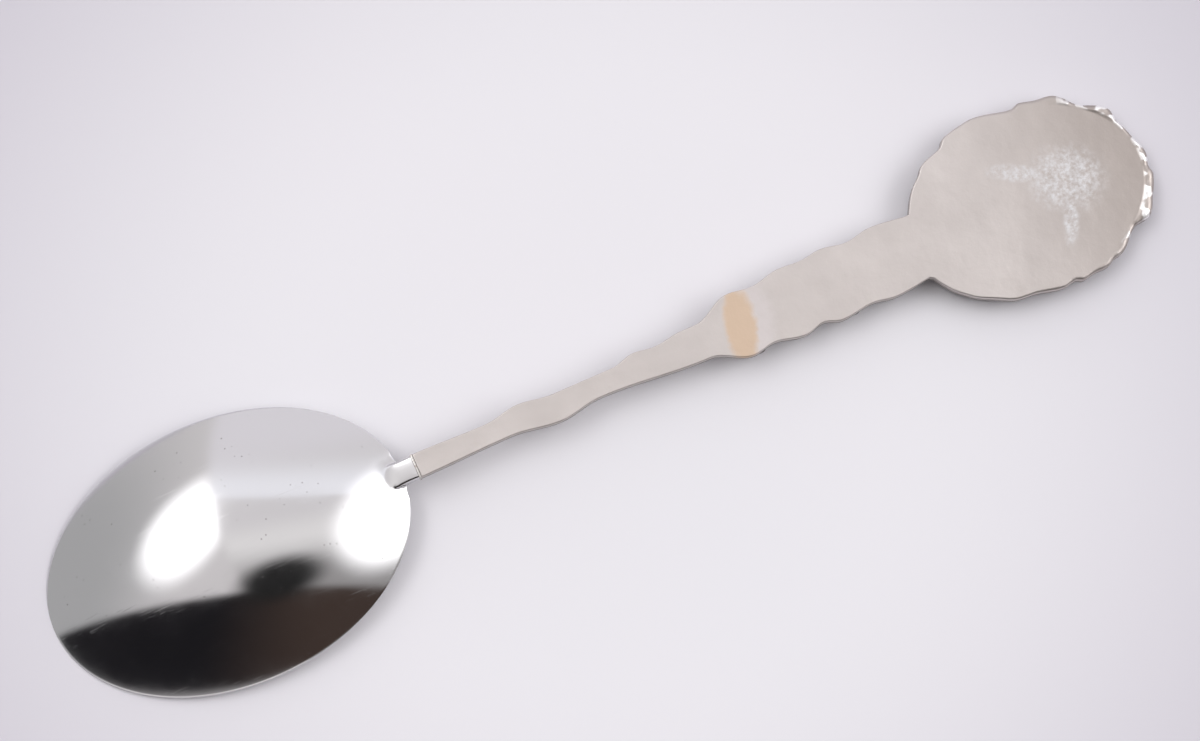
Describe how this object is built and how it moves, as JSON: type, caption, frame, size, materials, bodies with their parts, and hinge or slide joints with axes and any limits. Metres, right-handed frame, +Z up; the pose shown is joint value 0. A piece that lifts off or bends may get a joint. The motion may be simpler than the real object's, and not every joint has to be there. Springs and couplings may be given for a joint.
{
  "type": "souvenir spoon",
  "caption": "Souvenir teaspoon: pressed plated oval bowl soldered into a flat-backed cast handle whose scalloped oval head holds an enamelled flower plaque under clear resin.",
  "frame": {"origin": "under the middle of the spoon's length and width, at the height of the surface that the spoon lies on, face down", "axes": "+X from the tip of the bowl to the end of the head, +Y to the left when looking from the bowl to the head, +Z up, out of the flat back of the handle"},
  "size_m": [0.13, 0.029, 0.0073],
  "materials": {
    "plated_bowl": "mirror nickel-chrome plate on pressed steel",
    "cast_handle": "satin nickel plate on a zinc casting",
    "solder": "bright tin-silver solder",
    "glue": "thin cured epoxy",
    "plaque_brass": "stamped and gilt brass",
    "enamel_blue": "soft enamel",
    "enamel_red": "soft enamel",
    "enamel_yellow": "soft enamel",
    "enamel_green": "soft enamel",
    "clear_resin": "clear domed resin"
  },
  "bodies": {
    "root": {"bowl": "plated_bowl", "handle": "cast_handle", "neck_solder": "solder", "plaque_glue": "glue", "plaque_plate": "plaque_brass", "enamel_ground": "enamel_blue", "enamel_petals": "enamel_red", "enamel_heart": "enamel_yellow", "enamel_leaves": "enamel_green", "plaque_dome": "clear_resin"}
  },
  "joints": []
}
